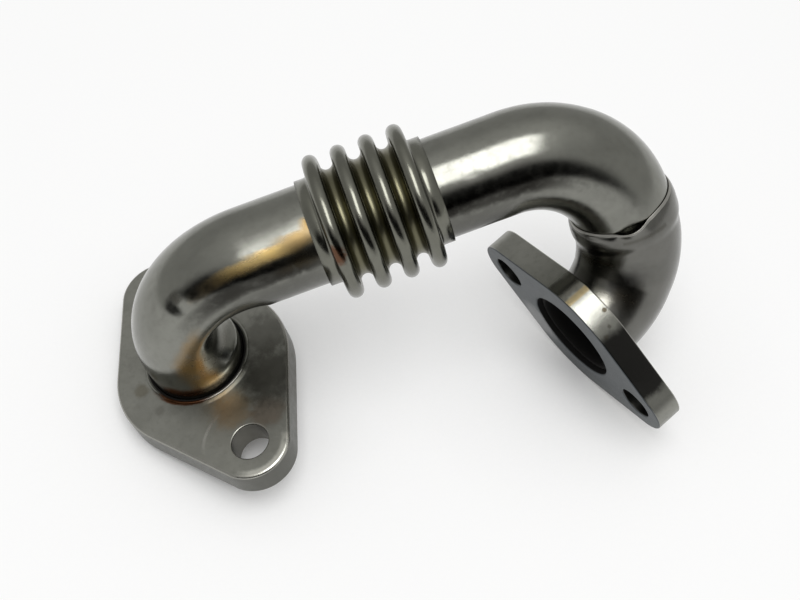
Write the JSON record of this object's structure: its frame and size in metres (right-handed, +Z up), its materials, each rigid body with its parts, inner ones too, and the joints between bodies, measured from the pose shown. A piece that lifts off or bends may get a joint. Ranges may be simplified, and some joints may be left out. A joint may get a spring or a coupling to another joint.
{
  "type": "egr pipe",
  "caption": "Bent steel exhaust gas recirculation pipe with a flexible bellows, an elbow and a bolted flange at each end.",
  "frame": {"origin": "middle of the footprint of the pipe as it lies at rest, on the surface it lies on", "axes": "+Z up, +X along the bellows from the inlet side to the outlet side as seen from above"},
  "size_m": [0.1462, 0.0874, 0.0756],
  "materials": {
    "satin_tube_steel": "satin, heat tinted near the joints",
    "bellows_steel": "satin, browned by heat in the grooves",
    "plate_steel": "matt, lightly stained",
    "braze_metal": "rough, brown"
  },
  "bodies": {
    "root": {"inlet_flange": "plate_steel", "inlet_tube": "satin_tube_steel", "bellows": "bellows_steel", "outlet_tube": "satin_tube_steel", "outlet_elbow": "satin_tube_steel", "outlet_flange": "plate_steel", "inlet_braze_ring": "braze_metal", "outlet_braze_ring": "braze_metal"}
  },
  "joints": []
}
